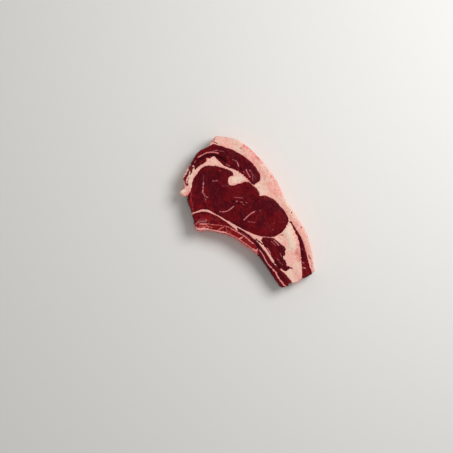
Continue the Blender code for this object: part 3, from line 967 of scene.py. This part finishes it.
def dress(context, name, material):
    """Makes one tissue in place of its CAD node."""
    sizes = context.scene.steak_sizes
    piece = bpy.data.objects.new(f"{name}_flesh", tissue_mesh(OUTLINES, name, sizes))
    context.scene.collection.objects.link(piece)
    piece.data.materials.append(material)
    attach(piece, "root")
    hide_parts(name)


class STEAK_OT_fat(bpy.types.Operator):
    """Makes the fat: the cap along one edge, the seams between the muscles and the tail"""

    bl_idname = "steak.fat"
    bl_label = "Fat"

    def execute(self, context):
        dress(context, "fat", hard_fat(context.scene.steak_colours))
        return {"FINISHED"}


class STEAK_OT_muscles(bpy.types.Operator):
    """Makes the six muscles that show on the cut face"""

    bl_idname = "steak.muscles"
    bl_label = "Muscles"

    def execute(self, context):
        meat = lean_meat(context.scene.steak_colours)
        for name in ("eye_muscle", "cap_muscle", "chine_muscle", "rib_muscle", "intercostal_muscle",
                     "outer_muscle"):
            dress(context, name, meat)
        return {"FINISHED"}


class STEAK_OT_bone(bpy.types.Operator):
    """Makes the sawn rib bone"""

    bl_idname = "steak.bone"
    bl_label = "Rib bone"

    def execute(self, context):
        dress(context, "rib_bone", sawn_bone(context.scene.steak_colours))
        return {"FINISHED"}


class STEAK_OT_stage(bpy.types.Operator):
    """Makes the floor, the lights and the camera above the steak"""

    bl_idname = "steak.stage"
    bl_label = "Stage"

    def execute(self, context):
        scene = context.scene
        self.make_floor(scene)
        self.make_lights(scene)
        self.make_camera(scene)
        scene.view_settings.view_transform = "Standard"
        return {"FINISHED"}

    def make_floor(self, scene):
        """A wide plain square, a hair below the steak."""
        half = 6.0
        drop = -0.1 * MM
        floor = bpy.data.meshes.new("floor")
        corners = [(-half, -half, drop), (half, -half, drop), (half, half, drop), (-half, half, drop)]
        floor.from_pydata(corners, [], [(0, 1, 2, 3)])
        s = Shading("pale_floor")
        s.look(Base_Color=scene.steak_colours.floor, Roughness=0.7)
        floor.materials.append(s.material)
        ground = bpy.data.objects.new("floor", floor)
        scene.collection.objects.link(ground)

    def make_lights(self, scene):
        """A large soft lamp from the photograph's upper right, and a pale sky."""
        world = bpy.data.worlds.new("sky")
        world.use_nodes = True
        world.node_tree.nodes["Background"].inputs["Color"].default_value = (1.0, 0.99, 0.97, 1)
        world.node_tree.nodes["Background"].inputs["Strength"].default_value = 0.42
        scene.world = world
        lamp = bpy.data.lights.new("window", "AREA")
        lamp.shape = "DISK"
        lamp.size = 0.7
        lamp.energy = 12.5
        heading = PHOTO_TURN + math.radians(35)
        lean_over = math.radians(38)
        away = 1.3
        key = bpy.data.objects.new("window", lamp)
        key.location = (away * math.sin(lean_over) * math.cos(heading),
                        away * math.sin(lean_over) * math.sin(heading), away * math.cos(lean_over))
        key.rotation_euler = (0, lean_over, heading)
        scene.collection.objects.link(key)

    def make_camera(self, scene):
        """Straight above the middle of the photograph's frame, turned as the photograph is."""
        right = (PHOTO_SIZE / 2 - ORIGIN_PIXEL[0]) * PIXEL
        up = (ORIGIN_PIXEL[1] - PHOTO_SIZE / 2) * PIXEL
        turn_x, turn_y = math.cos(PHOTO_TURN), math.sin(PHOTO_TURN)
        camera = bpy.data.cameras.new("camera")
        camera.sensor_width = 36
        reach = CAMERA_HEIGHT - scene.steak_sizes.thickness
        camera.lens = camera.sensor_width * reach / (PHOTO_SIZE * PIXEL)
        view = bpy.data.objects.new("camera", camera)
        view.location = (turn_x * right - turn_y * up, turn_y * right + turn_x * up, CAMERA_HEIGHT)
        view.rotation_euler = (0, 0, PHOTO_TURN)
        scene.collection.objects.link(view)
        scene.camera = view


class STEAK_PT_panel(bpy.types.Panel):
    """Lists the settings and the steps that make the steak"""

    bl_label = "Ribeye steak"
    bl_space_type = "VIEW_3D"
    bl_region_type = "UI"
    bl_category = "Steak"

    def draw(self, context):
        for group in (context.scene.steak_sizes, context.scene.steak_colours):
            box = self.layout.box()
            for name in group.__annotations__:
                box.prop(group, name)
        for operator in OPERATORS:
            self.layout.operator(operator.bl_idname)


OPERATORS = (STEAK_OT_fat, STEAK_OT_muscles, STEAK_OT_bone, STEAK_OT_stage)
CLASSES = (SteakSizes, SteakColours, *OPERATORS, STEAK_PT_panel)
OUTLINES = Outlines(frame["nodes"])


def register():
    """Adds the operators, the panel and the settings to Blender."""
    for made in CLASSES:
        bpy.utils.register_class(made)
    bpy.types.Scene.steak_sizes = bpy.props.PointerProperty(type=SteakSizes)
    bpy.types.Scene.steak_colours = bpy.props.PointerProperty(type=SteakColours)


def unregister():
    """Takes them out again."""
    del bpy.types.Scene.steak_colours
    del bpy.types.Scene.steak_sizes
    for made in reversed(CLASSES):
        bpy.utils.unregister_class(made)


def main():
    """Makes the steak and its stage."""
    register()
    bpy.ops.steak.fat()
    bpy.ops.steak.muscles()
    bpy.ops.steak.bone()
    bpy.ops.steak.stage()


if __name__ == "__main__":
    main()
